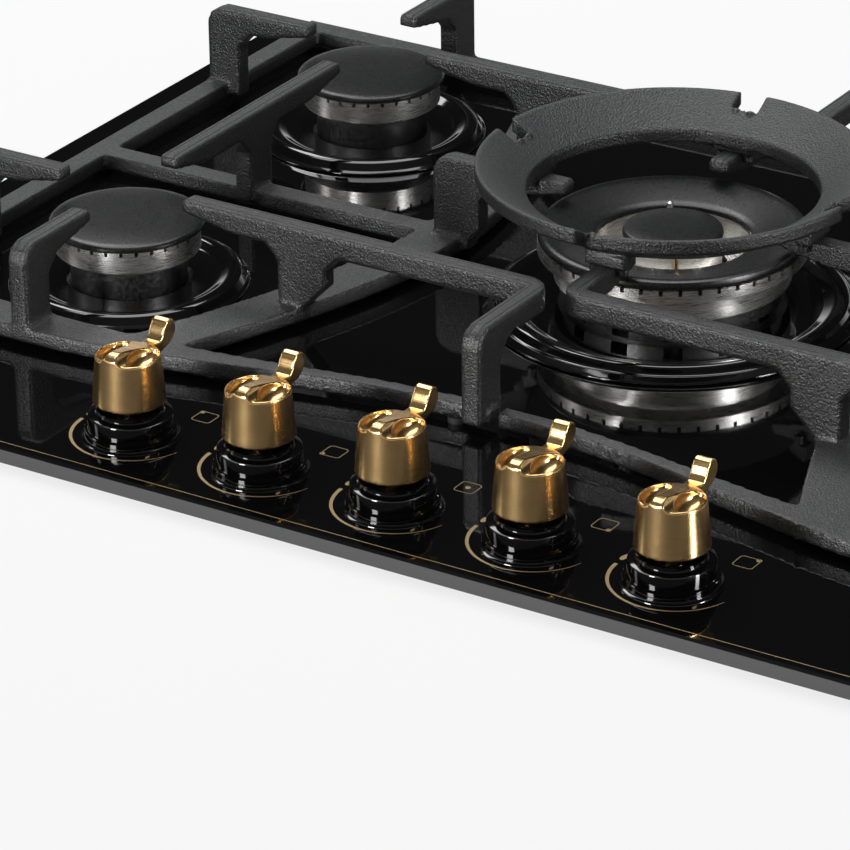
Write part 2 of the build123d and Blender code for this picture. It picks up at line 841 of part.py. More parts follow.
# Wok ring: a dished cast ring that rests on the four wok fingers, with pins on both sides of each finger
ring_pin = 2.5
ring_pin_depth = 5.0
ring_pin_place = ring_inner_radius + 4.5
ring_lip = 2.0
lug_length = 9.0
lug_width = 2 * (half_finger + 2 * ring_pin + fit_gap)
pin_spread = half_finger + ring_pin + fit_gap
ring_profile = [
    (ring_inner_radius, ring_lug),
    (ring_outer_radius, ring_rise),
    (ring_outer_radius, ring_rise + ring_thickness),
    (ring_outer_radius - ring_lip, ring_rise + ring_thickness),
    (ring_inner_radius, ring_lug + ring_thickness - 0.4),
]
notch_floor = 9.0
notch_length = 22.0
stud_radius = 1.6
stud_foot = 10.5
stud_height = 8.0
stud_place = ring_outer_radius - 12
stud_spread = 4.0
crossings = {0: 0.0, 90: grate_inner_x, 180: 0.0, 270: grate_inner_x}
with BuildPart() as wok_ring:
    revolve(half_section(ring_profile, 0, wok_y, finger_top), axis=upright(0, wok_y))
    for angle, shift in crossings.items():
        heading = (cos(radians(angle)), sin(radians(angle)), 0)
        at_finger = Plane(origin=(0, wok_y, finger_top), x_dir=heading, z_dir=(0, 0, 1))
        with BuildSketch(at_finger.offset(notch_floor)):
            with Locations((ring_outer_radius, shift)):
                Rectangle(notch_length, ring_notch)
        extrude(amount=ring_rise, mode=Mode.SUBTRACT)
        with BuildSketch(at_finger):
            with Locations((ring_inner_radius + 0.5 + lug_length / 2, shift)):
                Rectangle(lug_length, lug_width)
        extrude(amount=2 * ring_lug)
        with BuildSketch(at_finger.offset(-ring_pin_depth)):
            with Locations((ring_pin_place, shift - pin_spread), (ring_pin_place, shift + pin_spread)):
                Circle(ring_pin)
        extrude(amount=ring_pin_depth + ring_lug)
        with BuildSketch(at_finger.offset(stud_foot)):
            with Locations((stud_place, shift - stud_spread), (stud_place, shift + stud_spread)):
                Circle(stud_radius)
        extrude(amount=stud_height)
save(wok_ring.part, "wok_ring")

# Knob bezels: fixed black collars on the glass in two tiers, each with a low boss round the spindle
bezel_bore = 4.0
bezel_edge = 0.6
flange_reach = 4.7
tier_reach = 2.6
tier_height = 4.8
boss_radius = 15.8
boss_top = drum_base - press_travel - fit_gap
bezel_profile = [
    (bezel_bore, 0),
    (bezel_radius + flange_reach, 0),
    (bezel_radius + flange_reach, bezel_edge),
    (bezel_radius + tier_reach, 2 * bezel_edge),
    (bezel_radius + tier_reach, tier_height),
    (bezel_radius, tier_height),
    (bezel_radius, bezel_height - bezel_edge),
    (bezel_radius - bezel_edge, bezel_height),
    (boss_radius + bezel_edge, bezel_height + bezel_edge),
    (boss_radius, boss_top),
    (bezel_bore, boss_top),
]
with BuildPart() as knob_bezels:
    for x, y in knob_places:
        revolve(half_section(bezel_profile, x, y, glass_top), axis=upright(x, y))
save(knob_bezels.part, "knob_bezels")

# Valve bodies: one block on the gas rail for each knob, bored for its plug, with a neck for the spindle
valve_depth = 22.0
plug_floor = 24.0
plug_top = 41.0
valve_neck_radius = 9.0
valve_neck_height = 2.4
gas_port = 2.5
socket_depth = 4.0
bore_radius = plug_radius + running_gap
with BuildPart() as valve_bodies:
    for x, y in knob_places:
        with BuildSketch(Plane.XY.offset(valve_bottom)):
            with Locations((x, y)):
                Rectangle(valve_width, valve_depth)
        extrude(amount=valve_top - valve_bottom)
        with BuildSketch(Plane.XY.offset(valve_top)):
            with Locations((x, y)):
                Circle(valve_neck_radius)
        extrude(amount=valve_neck_height)
        with BuildSketch(Plane.XY.offset(plug_floor)):
            with Locations((x, y)):
                Circle(bore_radius)
        extrude(amount=valve_top - plug_floor, mode=Mode.SUBTRACT)
        with BuildSketch(Plane.XY.offset(valve_top)):
            with Locations((x, y)):
                Circle(spindle_radius + fit_gap)
        extrude(amount=valve_neck_height, mode=Mode.SUBTRACT)
        with BuildSketch(Plane.XY.offset(valve_bottom)):
            with Locations((x, y)):
                Circle(gas_port)
        extrude(amount=plug_floor - valve_bottom, mode=Mode.SUBTRACT)
        with BuildSketch(Plane.XZ.offset(-y - valve_depth / 2)):
            with Locations((x, tube_height)):
                Circle(tube_radius + running_gap)
        extrude(amount=socket_depth, mode=Mode.SUBTRACT)
save(valve_bodies.part, "valve_bodies")

# Knobs, spindles and valve plugs: the D-section spindle turns the plug and slides down through it
spindle_bottom = glass_top - 26.0
spindle_top = glass_top + 32.0
lever_crest = [
    (-16, 41.4),
    (-15.2, 43.2),
    (-13.8, 44.7),
    (-11.8, 45.7),
    (-9, 46),
    (0, 44.2),
    (8, 42.3),
    (16, 40.6),
]
lever_tip = [
    (20.2, 40.2),
    (22.4, 42.6),
    (24.2, 46),
    (26, 48.3),
    (28.4, 49),
    (31.4, 47.6),
    (33, 44),
    (32.4, 40.8),
    (30.2, 38.2),
    (27.4, 36.6),
    (23, 35.6),
    (18, 34.4),
    (14, 33),
    (10, 33),
]
lever_plan = [
    (-lever_width / 2, -9),
    (-lever_width / 2, 10),
    (-lever_tip_width / 2, 21),
    (-lever_tip_width / 2, 34),
    (lever_tip_width / 2, 34),
    (lever_tip_width / 2, 21),
    (lever_width / 2, 10),
    (lever_width / 2, -9),
]
crest_top = 50.0
hollow_outer = 14.4
hollow_inner = 7.0
hollow_top = 35.0
ridge_radius = drum_rim_radius - 0.6
knob_profile = [
    (0, drum_base),
    (hollow_inner, drum_base),
    (hollow_inner, hollow_top),
    (hollow_outer - 1, hollow_top),
    (hollow_outer, drum_base),
    (drum_base_radius, drum_base),
    (drum_rim_radius, drum_rim),
    (ridge_radius, crest_top),
    (0, crest_top),
]


def d_section(x, y, radius, flat):
    """A circle with one flat side, the section of the spindle and of the holes it drives."""
    with BuildSketch(Plane.XY) as section:
        with Locations((x, y)):
            Circle(radius)
        with Locations((x + flat + radius, y)):
            Rectangle(2 * radius, 4 * radius, mode=Mode.SUBTRACT)
    return section.sketch


def lever_side(corners, x, y):
    """A face in the upright plane along the lever whose corners are (distance behind the axis, height) pairs."""
    with BuildSketch(Plane(origin=(x, y, glass_top), x_dir=(0, 1, 0), z_dir=(1, 0, 0))) as section:
        with BuildLine():
            Polyline(*corners, close=True)
        make_face()
    return section.sketch


above_crest = [(-drum_base_radius, crest_top + 1), (-drum_base_radius, lever_crest[0][1])] + lever_crest
above_crest += [(drum_base_radius, lever_crest[-1][1]), (drum_base_radius, crest_top + 1)]
lever_back = lever_crest[4:] + lever_tip
flare_centre = lever_width / 2 + lever_flare
for n, (x, y) in enumerate(knob_places, start=1):
    with BuildPart() as knob:
        revolve(half_section(knob_profile, x, y, glass_top), axis=upright(x, y))
        extrude(lever_side(above_crest, x, y), amount=drum_base_radius, both=True, mode=Mode.SUBTRACT)
        with BuildSketch(Plane(origin=(x, y, glass_top + drum_rim), x_dir=(1, 0, 0), z_dir=(0, -1, 0))):
            with Locations((-flare_centre, lever_flare), (flare_centre, lever_flare)):
                Circle(lever_flare)
                Rectangle(2 * lever_flare, 2 * lever_flare, align=(Align.CENTER, Align.MIN))
            with Locations((-flare_centre, 0)):
                Rectangle(2 * lever_flare, 4 * lever_flare, align=(Align.MAX, Align.MIN))
            with Locations((flare_centre, 0)):
                Rectangle(2 * lever_flare, 4 * lever_flare, align=(Align.MIN, Align.MIN))
        extrude(amount=drum_base_radius, both=True, mode=Mode.SUBTRACT)
        with BuildPart(mode=Mode.PRIVATE) as lever:
            extrude(lever_side(lever_back, x, y), amount=lever_tip_width / 2, both=True)
            with BuildSketch(Plane.XY.offset(glass_top)):
                with BuildLine():
                    Polyline(*[(x + across, y + back) for across, back in lever_plan], close=True)
                make_face()
            extrude(amount=crest_top, mode=Mode.INTERSECT)
        add(lever.part)
        hole = d_section(x, y, spindle_radius, spindle_flat).moved(Location((0, 0, glass_top + drum_base)))
        extrude(hole, amount=spindle_top - glass_top - drum_base, mode=Mode.SUBTRACT)
    save(knob.part, f"knob_{n}")

    with BuildPart() as spindle:
        section = d_section(x, y, spindle_radius, spindle_flat).moved(Location((0, 0, spindle_bottom)))
        extrude(section, amount=spindle_top - spindle_bottom)
    save(spindle.part, f"spindle_{n}")

    with BuildPart() as plug:
        with BuildSketch(Plane.XY.offset(plug_floor + running_gap)):
            with Locations((x, y)):
                Circle(plug_radius)
        extrude(amount=plug_top - plug_floor - running_gap)
        hole = d_section(x, y, spindle_radius + running_gap, spindle_flat + running_gap)
        extrude(hole.moved(Location((0, 0, plug_floor))), amount=plug_top - plug_floor, mode=Mode.SUBTRACT)
    save(plug.part, f"valve_plug_{n}")

# Gas rail: a bored bar under the valves, with the supply pipe that runs back along the right side
pipe_wall = 1.5
supply_bend = 22.0
supply_lap = 2.0
back_wall_y = case_depth / 2
inner_wall_y = back_wall_y - case_sheet
plate_y = inner_wall_y - inlet_plate[2]
supply_end_y = plate_y - 3.8
bar_plug = 8.0
with BuildPart() as gas_manifold:
    bar_length = manifold_right_x - manifold_left_x
    bar_middle = (manifold_left_x + manifold_right_x) / 2
    with BuildSketch(Plane.XY.offset(case_sheet)):
        with Locations((bar_middle, knob_y)):
            Rectangle(bar_length, manifold_depth)
    extrude(amount=valve_bottom - case_sheet)
    with BuildLine() as supply_path:
        FilletPolyline(
            (manifold_right_x - supply_lap, knob_y, supply_z),
            (supply_x, knob_y, supply_z),
            (supply_x, supply_end_y, supply_z),
            radius=supply_bend,
        )
    with BuildSketch(Plane(origin=(manifold_right_x - supply_lap, knob_y, supply_z), z_dir=(1, 0, 0))):
        Circle(supply_radius)
    sweep(path=supply_path.line)
    with BuildSketch(Plane(origin=(manifold_right_x - supply_lap, knob_y, supply_z), z_dir=(1, 0, 0))):
        Circle(supply_radius - pipe_wall)
    sweep(path=supply_path.line, mode=Mode.SUBTRACT)
    with BuildSketch(Plane(origin=(manifold_right_x, knob_y, supply_z), z_dir=(-1, 0, 0))):
        Circle(supply_radius - pipe_wall)
    extrude(amount=bar_length - bar_plug, mode=Mode.SUBTRACT)
    with BuildSketch(Plane.XY.offset(supply_z)):
        with Locations(*knob_places):
            Circle(gas_port)
    extrude(amount=valve_bottom - supply_z, mode=Mode.SUBTRACT)
save(gas_manifold.part, "gas_manifold")

# Gas tubes: aluminium tubes from each valve to its burner cup, all at one height above the rails
tube_bore = 2.2
tube_bend = 10.0
tube_start_y = knob_y + valve_depth / 2 - socket_depth + 0.5
tube_insert = 6.0
side_run_gap = 10.0
side_run_x = right_x + rapid[2] + pin_offset - flange_overlap + side_run_gap
side_run_setback = 44.0
side_run_y = knob_y + side_run_setback


def cup_wall_x(name):
    """Where the tube of a side burner ends, a little way inside the wall of its cup."""
    x, y, burner = side_burners[name]
    reach = burner[2] + pin_offset - flange_overlap - tube_insert
    return x + cos(radians(inlet_angles[name])) * reach


tube_routes = [
    [
        (knob_places[0][0], tube_start_y),
        (knob_places[0][0], side_run_y),
        (-side_run_x, side_run_y),
        (-side_run_x, back_y),
        (cup_wall_x("back_left"), back_y),
    ],
    [
        (knob_places[1][0], tube_start_y),
        (knob_places[1][0], front_y),
        (cup_wall_x("front_left"), front_y),
    ],
    [
        (knob_places[3][0], tube_start_y),
        (knob_places[3][0], front_y),
        (cup_wall_x("front_right"), front_y),
    ],
    [
        (knob_places[4][0], tube_start_y),
        (knob_places[4][0], side_run_y),
        (side_run_x, side_run_y),
        (side_run_x, back_y),
        (cup_wall_x("back_right"), back_y),
    ],
]
with BuildPart() as gas_tubes:
    for route in tube_routes:
        start = (route[0][0], route[0][1], tube_height)
        with BuildLine() as path:
            FilletPolyline(*[(x, y, tube_height) for x, y in route], radius=tube_bend)
        with BuildSketch(Plane(origin=start, z_dir=(0, 1, 0))):
            Circle(tube_radius)
            Circle(tube_bore, mode=Mode.SUBTRACT)
        sweep(path=path.line)
    with BuildSketch(Plane(origin=(0, tube_start_y, tube_height), z_dir=(0, 1, 0))):
        Circle(tube_radius)
        Circle(tube_bore, mode=Mode.SUBTRACT)
    extrude(amount=wok_y - wok_cup_radius + tube_insert - tube_start_y)
save(gas_tubes.part, "gas_tubes")

# Gas inlet fitting: a plate against the inside of the case, a collar through its back wall, then the thread
collar_end_y = back_wall_y + 2
inlet_end_y = back_wall_y + 20
socket_start_y = supply_end_y - 8
socket_radius = supply_radius + 3
with BuildPart() as gas_inlet_fitting:
    with BuildSketch(Plane.XZ.offset(-socket_start_y)):
        with Locations((supply_x, supply_z)):
            Circle(socket_radius)
    extrude(amount=socket_start_y - plate_y)
    with BuildSketch(Plane.XZ.offset(-inner_wall_y)):
        with Locations((supply_x, case_sheet + inlet_plate[1] / 2)):
            Rectangle(inlet_plate[0], inlet_plate[1])
    extrude(amount=inlet_plate[2])
    with BuildSketch(Plane.XZ.offset(-inner_wall_y)):
        with Locations((supply_x, supply_z)):
            Circle(inlet_collar)
    extrude(amount=inner_wall_y - collar_end_y)
    with BuildSketch(Plane.XZ.offset(-collar_end_y)):
        with Locations((supply_x, supply_z)):
            Circle(inlet_radius)
    extrude(amount=collar_end_y - inlet_end_y)
    with BuildSketch(Plane.XZ.offset(-inlet_end_y)):
        with Locations((supply_x, supply_z)):
            Circle(supply_radius - pipe_wall)
    extrude(amount=inlet_end_y - socket_start_y, mode=Mode.SUBTRACT)
    with BuildSketch(Plane.XZ.offset(-supply_end_y)):
        with Locations((supply_x, supply_z)):
            Circle(supply_radius)
    extrude(amount=supply_end_y - socket_start_y, mode=Mode.SUBTRACT)
save(gas_inlet_fitting.part, "gas_inlet_fitting")

# Ignition module: a moulded box on the case floor, with a socket for each spark lead
module_size = (58.0, 42.0, 22.0)
module_corner = 3.0
module_y = back_y + 1.5
plug_pitch = 9.0
plug_socket = 2.2
plug_depth = 5.0
plug_face_y = module_y - module_size[1] / 2
plug_face_z = case_sheet + 0.6 * module_size[2]
with BuildPart() as ignition_module:
    with BuildSketch(Plane.XY.offset(case_sheet)):
        with Locations((bay_x, module_y)):
            RectangleRounded(module_size[0], module_size[1], module_corner)
    extrude(amount=module_size[2])
    with BuildSketch(Plane(origin=(bay_x, plug_face_y, plug_face_z), x_dir=(1, 0, 0), z_dir=(0, -1, 0))):
        with GridLocations(plug_pitch, 0, len(knob_places), 1):
            Circle(plug_socket)
    extrude(amount=plug_depth)
save(ignition_module.part, "ignition_module")

# Terminal block: a moulded strip with three bays, beside the cable gland
block_size = (40.0, 20.0, 16.0)
block_to_gland = 47.0
block_x = gland_x - block_to_gland
block_y = inner_wall_y - 25.8
block_floor = 6.0
bay_pitch = 12.0
bay_width = 8.0
with BuildPart() as terminal_block:
    with BuildSketch(Plane.XY.offset(case_sheet)):
        with Locations((block_x, block_y)):
            Rectangle(block_size[0], block_size[1])
    extrude(amount=block_size[2])
    with BuildSketch(Plane.XY.offset(case_sheet + block_floor)):
        with Locations((block_x, block_y)):
            with GridLocations(bay_pitch, 0, 3, 1):
                Rectangle(bay_width, block_size[1])
    extrude(amount=block_size[2] - block_floor, mode=Mode.SUBTRACT)
save(terminal_block.part, "terminal_block")

# Cable gland: a nut inside the back wall, a flange and a neck outside it, where the mains lead comes in
gland_nut = 10.0
gland_nut_depth = 6.0
gland_flange = 11.0
gland_flange_depth = 5.0
gland_neck = 8.5
gland_neck_depth = 7.0
lead_radius = 3.5
flange_end_y = back_wall_y + gland_flange_depth
neck_end_y = flange_end_y + gland_neck_depth
with BuildPart() as cable_gland:
    with BuildSketch(Plane.XZ.offset(-inner_wall_y)):
        with Locations((gland_x, gland_z)):
            RegularPolygon(gland_nut, 6)
    extrude(amount=gland_nut_depth)
    with BuildSketch(Plane.XZ.offset(-inner_wall_y)):
        with Locations((gland_x, gland_z)):
            Circle(gland_hole - running_gap)
    extrude(amount=-case_sheet)
    with BuildSketch(Plane.XZ.offset(-back_wall_y)):
        with Locations((gland_x, gland_z)):
            RegularPolygon(gland_flange, 6)
    extrude(amount=-gland_flange_depth)
    with BuildSketch(Plane.XZ.offset(-flange_end_y)):
        with Locations((gland_x, gland_z)):
            Circle(gland_neck)
    extrude(amount=-gland_neck_depth)
    with BuildSketch(Plane.XZ.offset(-neck_end_y)):
        with Locations((gland_x, gland_z)):
            Circle(lead_radius)
    extrude(amount=neck_end_y - inner_wall_y + gland_nut_depth, mode=Mode.SUBTRACT)
save(cable_gland.part, "cable_gland")
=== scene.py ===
import math

import bpy
from mathutils import Matrix, Vector


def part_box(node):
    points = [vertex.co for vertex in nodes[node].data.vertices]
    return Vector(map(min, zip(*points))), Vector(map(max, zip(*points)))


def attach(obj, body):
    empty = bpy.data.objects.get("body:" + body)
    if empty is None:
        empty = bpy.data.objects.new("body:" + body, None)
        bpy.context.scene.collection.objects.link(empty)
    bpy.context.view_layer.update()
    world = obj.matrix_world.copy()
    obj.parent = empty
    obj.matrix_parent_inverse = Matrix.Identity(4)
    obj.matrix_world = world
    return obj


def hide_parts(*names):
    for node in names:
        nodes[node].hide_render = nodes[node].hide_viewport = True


# A built-in gas cooktop: a black glass top with four side burners, a triple-ring wok burner, two cast-iron
# grates, a wok ring and five brass lever knobs. Metres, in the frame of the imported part.
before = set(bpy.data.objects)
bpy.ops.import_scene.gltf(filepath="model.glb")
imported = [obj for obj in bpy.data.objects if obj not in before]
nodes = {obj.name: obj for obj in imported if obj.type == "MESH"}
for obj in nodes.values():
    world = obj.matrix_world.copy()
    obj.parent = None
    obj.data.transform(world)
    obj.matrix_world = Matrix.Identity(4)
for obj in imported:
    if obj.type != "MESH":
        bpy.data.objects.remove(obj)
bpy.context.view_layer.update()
mm = 0.001
glass_lo, glass_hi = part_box("glass_panel")
glass_top = glass_hi[2]

# Studio: a pale worktop with a cut-out for the case, a white surround and soft lamps. The level glass mirrors
# a dark band of the surround. The metal mirrors a dim worktop and two strips that show in reflections only.
camera_azimuth = 32.10
camera_elevation = 25.80
camera_roll = -0.62
camera_place = (1.1149, -1.9403, 1.0876)
camera_lens, sensor_width = 216.4, 36.0
camera_shift = (-0.0354, -0.0019)
floor_reach = 6.0
floor_white = 0.8
seal_squeeze = 0.0002
bpy.ops.object.camera_add()
camera = bpy.context.object
camera.data.lens = camera_lens
camera.data.sensor_width = sensor_width
camera.data.shift_x, camera.data.shift_y = camera_shift
turned = Matrix.Rotation(math.radians(camera_azimuth), 4, "Z")
tilted = Matrix.Rotation(math.radians(90 - camera_elevation), 4, "X")
rolled = Matrix.Rotation(math.radians(camera_roll), 4, "Z")
camera.matrix_world = Matrix.Translation(camera_place) @ turned @ tilted @ rolled
bpy.context.scene.camera = camera
bpy.context.scene.view_settings.view_transform = "Standard"


def lamp(name, place, target, width, height, power, colour=(1.0, 1.0, 1.0)):
    """A softbox at a place, aimed at a target."""
    bpy.ops.object.light_add(type="AREA", location=place)
    box = bpy.context.object
    box.name = name
    box.rotation_euler = (Vector(target) - Vector(place)).to_track_quat("-Z", "Y").to_euler()
    box.data.shape = "RECTANGLE"
    box.data.size = width
    box.data.size_y = height
    box.data.energy = power
    box.data.color = colour


lamp("overhead", (-0.5, 0.5, 1.9), (0, 0, 0), 1.5, 1.0, 17)
lamp("left_back", (-1.5, 1.1, 1.9), (0, 0, 0.05), 0.7, 0.7, 9)
lamp("front_strip", (-0.4, -1.7, 0.36), (0, -0.1, 0.06), 0.36, 1.0, 44.0)
lamp("right_strip", (1.7, -0.1, 0.36), (0, -0.1, 0.06), 0.26, 1.0, 28.0)
for name in ("front_strip", "right_strip"):
    bpy.data.objects[name].visible_diffuse = False
lamp("left_strip", (-1.7, -0.9, 0.6), (0, 0, 0.06), 0.3, 0.9, 3.5)

world = bpy.context.scene.world or bpy.data.worlds.new("surround")
bpy.context.scene.world = world
world.use_nodes = True
tree = world.node_tree
tree.nodes.clear()
rays = tree.nodes.new("ShaderNodeLightPath")
place = tree.nodes.new("ShaderNodeTexCoord")
split = tree.nodes.new("ShaderNodeSeparateXYZ")
bands = tree.nodes.new("ShaderNodeValToRGB")
shown = tree.nodes.new("ShaderNodeMix")
mirrored = tree.nodes.new("ShaderNodeMix")
through = tree.nodes.new("ShaderNodeMath")
surround = tree.nodes.new("ShaderNodeBackground")
out = tree.nodes.new("ShaderNodeOutputWorld")
bands.color_ramp.elements[0].position = 0.06
bands.color_ramp.elements[0].color = (0.95, 0.95, 0.95, 1)
bands.color_ramp.elements[1].position = 1.0
bands.color_ramp.elements[1].color = (0.16, 0.16, 0.17, 1)
for height, level in ((0.2, 0.10), (0.3, 0.012), (0.62, 0.02)):
    band = bands.color_ramp.elements.new(height)
    band.color = (level, level, level * 1.03, 1)
through.operation = "MAXIMUM"
for mix in (shown, mirrored):
    mix.data_type = "RGBA"
mirrored.inputs[6].default_value = (0.42, 0.42, 0.43, 1)
shown.inputs[7].default_value = (1, 1, 1, 1)
link = tree.links.new
link(place.outputs["Generated"], split.inputs[0])
link(split.outputs["Z"], bands.inputs["Fac"])
link(rays.outputs["Is Glossy Ray"], through.inputs[0])
link(rays.outputs["Is Transmission Ray"], through.inputs[1])
link(through.outputs[0], mirrored.inputs[0])
link(bands.outputs["Color"], mirrored.inputs[7])
link(rays.outputs["Is Camera Ray"], shown.inputs[0])
link(mirrored.outputs[2], shown.inputs[6])
link(shown.outputs[2], surround.inputs["Color"])
link(surround.outputs[0], out.inputs[0])

case_lo, case_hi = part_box("bottom_case")
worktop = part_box("worktop_seal")[0][2] - seal_squeeze
cut_out = 0.005
inner = (case_lo[0] - cut_out, case_lo[1] - cut_out, case_hi[0] + cut_out, case_hi[1] + cut_out)
rims = []
far = (-floor_reach, -floor_reach, floor_reach, floor_reach)
for west, south, east, north in (far, inner):
    rims += [(west, south, worktop), (east, south, worktop), (east, north, worktop), (west, north, worktop)]
sides = [(n, (n + 1) % 4, 4 + (n + 1) % 4, 4 + n) for n in range(4)]
sheet = bpy.data.meshes.new("floor")
sheet.from_pydata(rims, [], sides)
floor = bpy.data.objects.new("floor", sheet)
bpy.context.collection.objects.link(floor)
paper = bpy.data.materials.new("pale_floor")
paper.use_nodes = True
tree = paper.node_tree
tree.nodes.clear()
rays = tree.nodes.new("ShaderNodeLightPath")
share = tree.nodes.new("ShaderNodeMath")
share.operation = "MULTIPLY"
share.inputs[1].default_value = floor_white
matt = tree.nodes.new("ShaderNodeBsdfDiffuse")
matt.inputs["Color"].default_value = (0.82, 0.82, 0.82, 1)
# Painted reflection: where metal and glass mirror the worktop it is painted dark grey, while the camera and
# bounced light see it pale.
painted_dark_reflection = tree.nodes.new("ShaderNodeBsdfDiffuse")
painted_dark_reflection.inputs["Color"].default_value = (0.10, 0.10, 0.10, 1)
seen = tree.nodes.new("ShaderNodeMixShader")
white = tree.nodes.new("ShaderNodeEmission")
blend = tree.nodes.new("ShaderNodeMixShader")
out = tree.nodes.new("ShaderNodeOutputMaterial")
tree.links.new(rays.outputs["Is Camera Ray"], share.inputs[0])
tree.links.new(share.outputs[0], blend.inputs[0])
tree.links.new(rays.outputs["Is Glossy Ray"], seen.inputs[0])
tree.links.new(matt.outputs[0], seen.inputs[1])
tree.links.new(painted_dark_reflection.outputs[0], seen.inputs[2])
tree.links.new(seen.outputs[0], blend.inputs[1])
tree.links.new(white.outputs[0], blend.inputs[2])
tree.links.new(blend.outputs[0], out.inputs[0])
floor.data.materials.append(paper)


# Glass panel: 8 mm toughened glass, black behind, with a bevelled top edge and ground sides.
# The polished face is near mirror; the ground edge is a dull dark grey.
def surface(name, colour, metallic, roughness, **sockets):
    """A material with one principled shader; further sockets are given by name with underscores."""
    made = bpy.data.materials.new(name)
    made.use_nodes = True
    shader = made.node_tree.nodes["Principled BSDF"]
    shader.inputs["Base Color"].default_value = (*colour, 1)
    shader.inputs["Metallic"].default_value = metallic
    shader.inputs["Roughness"].default_value = roughness
    for socket, value in sockets.items():
        shader.inputs[socket.replace("_", " ")].default_value = value
    return made


def noise(made, scale, stretch=(1, 1, 1), detail=5.0):
    """Noise in the object's own coordinates, in cycles per metre, stretched along each axis."""
    tree = made.node_tree
    place = tree.nodes.new("ShaderNodeTexCoord")
    fit = tree.nodes.new("ShaderNodeMapping")
    fit.inputs["Scale"].default_value = stretch
    cloud = tree.nodes.new("ShaderNodeTexNoise")
    cloud.inputs["Scale"].default_value = scale
    cloud.inputs["Detail"].default_value = detail
    tree.links.new(place.outputs["Object"], fit.inputs["Vector"])
    tree.links.new(fit.outputs[0], cloud.inputs["Vector"])
    return cloud.outputs["Fac"]


def spread(made, field, low, high, start=0.35, end=0.65):
    """A field mapped onto the range from low to high."""
    fit = made.node_tree.nodes.new("ShaderNodeMapRange")
    fit.inputs["From Min"].default_value = start
    fit.inputs["From Max"].default_value = end
    fit.inputs["To Min"].default_value = low
    fit.inputs["To Max"].default_value = high
    made.node_tree.links.new(field, fit.inputs["Value"])
    return fit.outputs["Result"]


def tones(made, field, dark, light):
    """Drives the base colour between two tones."""
    tree = made.node_tree
    ramp = tree.nodes.new("ShaderNodeValToRGB")
    ramp.color_ramp.elements[0].position = 0.3
    ramp.color_ramp.elements[0].color = (*dark, 1)
    ramp.color_ramp.elements[1].position = 0.7
    ramp.color_ramp.elements[1].color = (*light, 1)
    tree.links.new(field, ramp.inputs["Fac"])
    tree.links.new(ramp.outputs["Color"], tree.nodes["Principled BSDF"].inputs["Base Color"])


def relief(made, field, depth, strength=1.0):
    """Adds a bump of the given depth in metres on top of any bump the material has."""
    tree = made.node_tree
    shader = tree.nodes["Principled BSDF"]
    bump = tree.nodes.new("ShaderNodeBump")
    bump.inputs["Distance"].default_value = depth
    bump.inputs["Strength"].default_value = strength
    tree.links.new(field, bump.inputs["Height"])
    if shader.inputs["Normal"].is_linked:
        tree.links.new(shader.inputs["Normal"].links[0].from_socket, bump.inputs["Normal"])
    tree.links.new(bump.outputs[0], shader.inputs["Normal"])


def drive(made, socket, field):
    """Links a field to a socket of the principled shader."""
    made.node_tree.links.new(field, made.node_tree.nodes["Principled BSDF"].inputs[socket])


def dress(node, made):
    """Gives a CAD node a finished material."""
    for slot in nodes[node].material_slots:
        slot.material = made


def upward(made, start, end):
    """How far a face looks up: 0 on the sides, 1 on the top."""
    tree = made.node_tree
    shape = tree.nodes.new("ShaderNodeNewGeometry")
    split = tree.nodes.new("ShaderNodeSeparateXYZ")
    tree.links.new(shape.outputs["Normal"], split.inputs[0])
    return spread(made, split.outputs["Z"], 0.0, 1.0, start, end)


black_glass = surface("black_glass", (0.003, 0.003, 0.0035), 0.0, 0.03, IOR=1.95)
face = upward(black_glass, 0.2, 0.5)
drive(black_glass, "Roughness", spread(black_glass, face, 0.42, 0.035, 0.0, 1.0))
tones(black_glass, face, (0.11, 0.112, 0.114), (0.003, 0.003, 0.0035))
relief(black_glass, noise(black_glass, 2400, (1, 1, 0.4)), 0.00001, 0.12)
dress("glass_panel", black_glass)


# Printed marks: gold ceramic ink fired onto the glass. Beside each knob an arc thins from a large flame to a
# small one, and a rounded square has a dot at the burner that the knob feeds. A thin line runs along the
# front edge.
ink_height = 0.06
arc_radius = 29.8
arc_back = 3.0
arc_start, arc_end = 180.0, 345.0
low_flame = 317.0
arc_wide, arc_thin = 1.9, 0.2
edge_line = (5.0, 0.3)
icon_place = (19.0, 33.0)
icon_half, icon_corner, icon_line = 5.0, 1.8, 0.35
dot_radius, dot_reach = 1.3, 0.82
knob_pitch = 72.0
full_flame_rise, full_flame_size = 6.5, 2.6
low_flame_inset, low_flame_size = 2.4, 1.4
flame_width, flame_pinch, flame_point = 0.55, 0.7, 0.6
arc_steps, corner_steps, flame_steps, dot_steps = 44, 6, 16, 20
dots = [(-1, 1), (-1, -1), (0, 0), (1, -1), (1, 1)]
gold_ink = surface("gold_ink", (0.42, 0.31, 0.16), 0.5, 0.45)
tones(gold_ink, noise(gold_ink, 3000), (0.34, 0.25, 0.12), (0.48, 0.36, 0.19))


def leaf(name, outlines):
    """Flat printed shapes on the glass, each an outline in millimetres, with the thickness of the ink."""
    corners = []
    faces = []
    for outline in outlines:
        faces.append(range(len(corners), len(corners) + len(outline)))
        corners += [(x * mm, y * mm, glass_top) for x, y in outline]
    mesh = bpy.data.meshes.new(name)
    mesh.from_pydata(corners, [], [list(face) for face in faces])
    piece = bpy.data.objects.new(name, mesh)
    bpy.context.collection.objects.link(piece)
    alone(piece)
    bpy.ops.object.mode_set(mode="EDIT")
    bpy.ops.mesh.select_all(action="SELECT")
    bpy.ops.mesh.extrude_region_move(TRANSFORM_OT_translate={"value": (0, 0, ink_height * mm)})
    bpy.ops.mesh.select_all(action="SELECT")
    bpy.ops.mesh.normals_make_consistent(inside=False)
    bpy.ops.object.mode_set(mode="OBJECT")
    return piece


